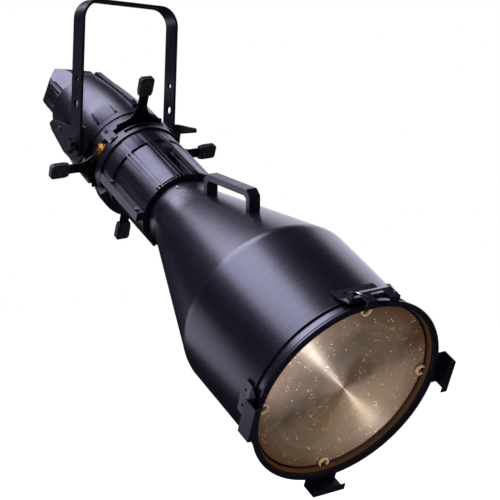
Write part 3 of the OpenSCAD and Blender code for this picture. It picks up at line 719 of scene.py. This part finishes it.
def kept_nodes():
    """CAD nodes get soft edges, or show as they are, in their slot's finish."""
    for node, width in SOFT_EDGES.items():
        softened(node, width, OTHER_FINISH.get(node))
    for node, obj in frame["nodes"].items():
        if not obj.hide_render:
            obj.data.materials.clear()
            obj.data.materials.append(FINISHES[SLOTS[node]])


# ---------- studio ----------

LOOK_FROM = Vector((2.4293, -1.6330, -0.3228))
LOOK_RIGHT = Vector((0.61991, 0.78397, 0.03327))
LOOK_AHEAD = Vector((-0.78318, 0.62079, -0.03531))
LENS_MM = 119.3
FLOOR_GAP = 0.45
FLOOR_R = 9.0


def camera():
    """Camera at the photograph's place and angle."""
    data = bpy.data.cameras.new("camera")
    data.lens = LENS_MM
    data.sensor_width = 36.0
    data.clip_end = 60.0
    up = LOOK_RIGHT.cross(LOOK_AHEAD)
    place = Matrix((LOOK_RIGHT, up, -LOOK_AHEAD)).transposed().to_4x4()
    place.translation = LOOK_FROM
    bpy.context.scene.camera = show("camera", data, place)


def floor():
    """Pale round floor under the hanging light."""
    mesh = bpy.data.meshes.new("floor")
    bm = bmesh.new()
    bmesh.ops.create_circle(bm, cap_ends=True, segments=96, radius=FLOOR_R)
    bm.to_mesh(mesh)
    bm.free()
    f = Finish("pale_floor", 0.8)
    f.colour(f.ramp(f.noise(3.0), [(0.3, 0.86), (0.7, 0.89)]))
    mesh.materials.append(f.material)
    obj = show("floor", mesh, Matrix.Translation((0, 0, cad_box[0].z - FLOOR_GAP)))
    obj.visible_glossy = False


def soft_box(name, aim, azimuth, elevation, distance, width, height, radiance, tint):
    """Area light in a direction from a point of the head, facing it, in degrees and metres."""
    a, e = math.radians(azimuth), math.radians(elevation)
    away = Vector((math.cos(a) * math.cos(e), math.sin(a) * math.cos(e), math.sin(e)))
    data = bpy.data.lights.new(name, "AREA")
    data.shape = "RECTANGLE"
    data.size, data.size_y = width, height
    data.energy = radiance * math.pi * width * height
    data.color = tint
    obj = show(name, data)
    obj.location = HEAD @ Vector(aim) + away * distance
    obj.rotation_euler = away.to_track_quat("Z", "Y").to_euler()
    obj.visible_camera = False
    return obj


REFLECTED = (0.014, 0.012, 0.024, 1.0)
COOL = (0.84, 0.83, 1.0)
TUBE = (520, 0, 0)
GLASS = (700, 0, 0)
BESIDE_GATE = (42, -81, 14)
ROOM_LIGHTS = (
    ("overhead_left", TUBE, -138, 57, 2.2, 2.0, 1.35, 7.5, COOL),
    ("right_rear", TUBE, 126, 18, 2.4, 1.7, 2.2, 1.7, COOL),
    ("low_left", TUBE, -152, -8, 2.2, 1.3, 0.9, 1.5, COOL),
    ("gate_glow", BESIDE_GATE, 95, -9, 0.02, 0.03, 0.012, 160, (1.0, 0.50, 0.14)),
)
LENS_LIGHTS = (
    ("lens_sparkle", GLASS, 27, -42, 0.80, 0.04, 0.04, 900, (1.0, 0.92, 0.84)),
    ("lens_glow", GLASS, 30, -48, 0.90, 0.60, 0.42, 9.0, (1.0, 0.84, 0.72)),
)


def lights(glass):
    """Soft boxes for the whole object, and two lamps that reach only the lens."""
    for settings in ROOM_LIGHTS:
        soft_box(*settings)
    only_lens = bpy.data.collections.new("lens_only")
    only_lens.objects.link(glass)
    for settings in LENS_LIGHTS:
        soft_box(*settings).light_linking.receiver_collection = only_lens


def surroundings():
    """White behind the object, brighter for the floor's fill, dim in reflections."""
    world = bpy.data.worlds.new("studio")
    world.use_nodes = True
    tree = world.node_tree
    paths = tree.nodes.new("ShaderNodeLightPath")
    source = None
    for ray, level in (("Is Camera Ray", 1.0), ("Is Diffuse Ray", 1.35)):
        mix = tree.nodes.new("ShaderNodeMix")
        mix.data_type = "RGBA"
        under = enabled(mix.inputs, "A")
        under.default_value = REFLECTED
        enabled(mix.inputs, "B").default_value = (level, level, level, 1.0)
        tree.links.new(paths.outputs[ray], enabled(mix.inputs, "Factor"))
        if source:
            tree.links.new(source, under)
        source = enabled(mix.outputs, "Result")
    tree.links.new(source, tree.nodes["Background"].inputs["Color"])
    bpy.context.scene.world = world
    bpy.context.scene.view_settings.view_transform = "Standard"


camera()
floor()
surroundings()
lens_tube()
front_ring()
lights(lens())
lens_clips()
shutter_grips()
carry_handle()
star_knob()
latch_springs()
kept_nodes()
